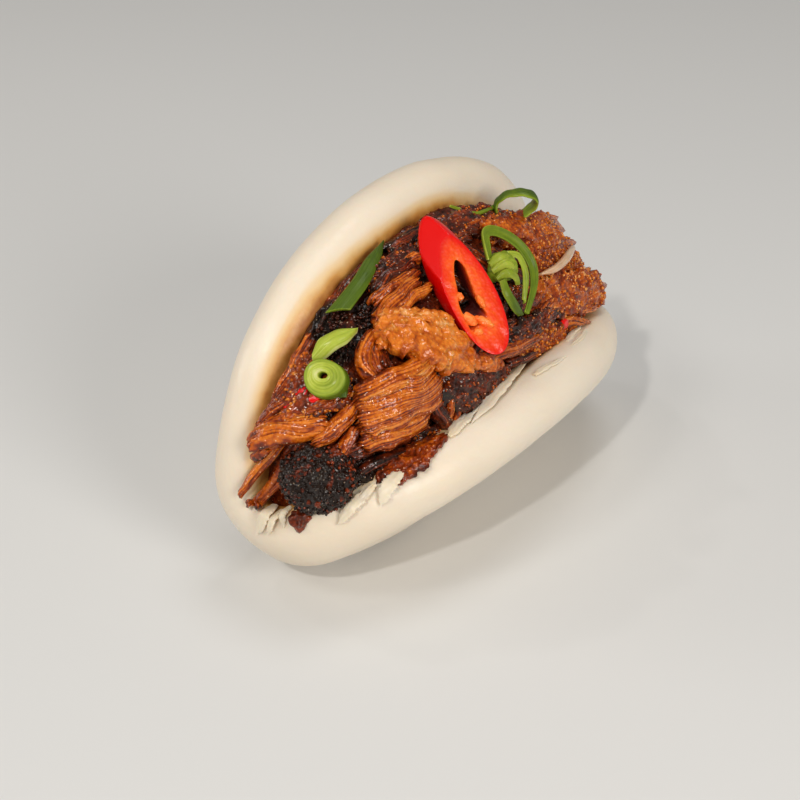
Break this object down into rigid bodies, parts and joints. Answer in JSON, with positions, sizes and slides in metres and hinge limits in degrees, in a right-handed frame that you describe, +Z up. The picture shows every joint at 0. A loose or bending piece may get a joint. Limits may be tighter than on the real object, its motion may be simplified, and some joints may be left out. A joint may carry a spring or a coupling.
{
  "type": "bao bun",
  "caption": "Folded steamed bun filled with glazed pulled pork, topped with a chilli slice and spring onion, standing on its fold.",
  "frame": {"origin": "centre of the small pressed flat under the fold, on the surface that the bun stands on", "axes": "+Z up, +Y along the fold, +X towards the low front wing"},
  "size_m": [0.0456, 0.1078, 0.0663],
  "materials": {
    "dough": "smooth steamed wheat dough, cream, soft satin sheen",
    "pork": "fibrous pulled pork in a dark sticky glaze",
    "pork_pale": "lighter orange-tan pork fibres, moist",
    "pork_charred": "blackened grainy crust with a wet glint",
    "chilli": "glossy red skin with an orange-red cut face",
    "onion": "fresh spring onion green, waxy",
    "onion_pale": "translucent pale onion sliver"
  },
  "bodies": {
    "root": {"bun": "dough", "pulled_pork": "pork", "pork_chunk": "pork", "pork_curl": "pork", "pork_torn_chunk": "pork_pale", "pork_pale_chunk": "pork_pale", "pork_charred_chunk": "pork_charred", "chilli_slice": "chilli", "chilli_bit_1": "chilli", "chilli_bit_2": "chilli", "chilli_bit_3": "chilli", "onion_ring": "onion", "onion_leaf": "onion", "onion_tip": "onion", "onion_strip": "onion", "onion_thread": "onion", "onion_loop": "onion", "onion_curl": "onion", "onion_fold": "onion", "onion_sliver": "onion_pale"}
  },
  "joints": []
}
